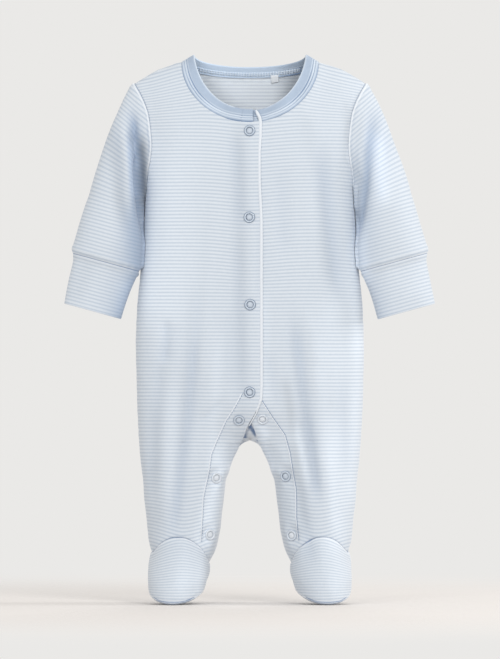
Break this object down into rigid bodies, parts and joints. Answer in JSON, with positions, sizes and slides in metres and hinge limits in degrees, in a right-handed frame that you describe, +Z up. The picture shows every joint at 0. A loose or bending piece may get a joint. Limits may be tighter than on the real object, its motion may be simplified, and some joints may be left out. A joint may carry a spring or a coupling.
{
  "type": "footed baby sleepsuit",
  "caption": "Long-sleeved one-piece baby sleepsuit with feet, striped jersey, a plain neckband and a snap front that runs down both inner legs.",
  "frame": {"origin": "middle of the shoulders: on the middle plane, midway between front and back, at the height of the neck's side points, where a wearer's shoulders would carry it", "axes": "+X towards the wearer's left, -Y out of the front with the snaps, +Z up towards the neck"},
  "size_m": [0.3704, 0.1244, 0.5494],
  "materials": {
    "striped_jersey": "fine cotton jersey with narrow pale blue and white stripes across each piece",
    "blue_rib": "plain light blue cotton rib",
    "pale_binding": "rolled off-white jersey edge",
    "white_label": "smooth white woven tape",
    "painted_metal": "satin blue-grey paint"
  },
  "bodies": {
    "root": {"front_right": "striped_jersey", "front_left": "striped_jersey", "back": "striped_jersey", "sleeve_right": "striped_jersey", "sleeve_left": "striped_jersey", "cuff_right": "striped_jersey", "cuff_left": "striped_jersey", "foot_top_right": "striped_jersey", "foot_top_left": "striped_jersey", "foot_sole_right": "striped_jersey", "foot_sole_left": "striped_jersey", "neckband": "blue_rib", "placket_edge": "pale_binding", "neck_tab": "white_label", "snap_1": "painted_metal", "snap_2": "painted_metal", "snap_3": "painted_metal", "snap_4": "painted_metal", "snap_5": "painted_metal", "snap_6": "painted_metal", "snap_7": "painted_metal", "snap_8": "painted_metal", "snap_9": "painted_metal", "snap_10": "painted_metal"}
  },
  "joints": []
}
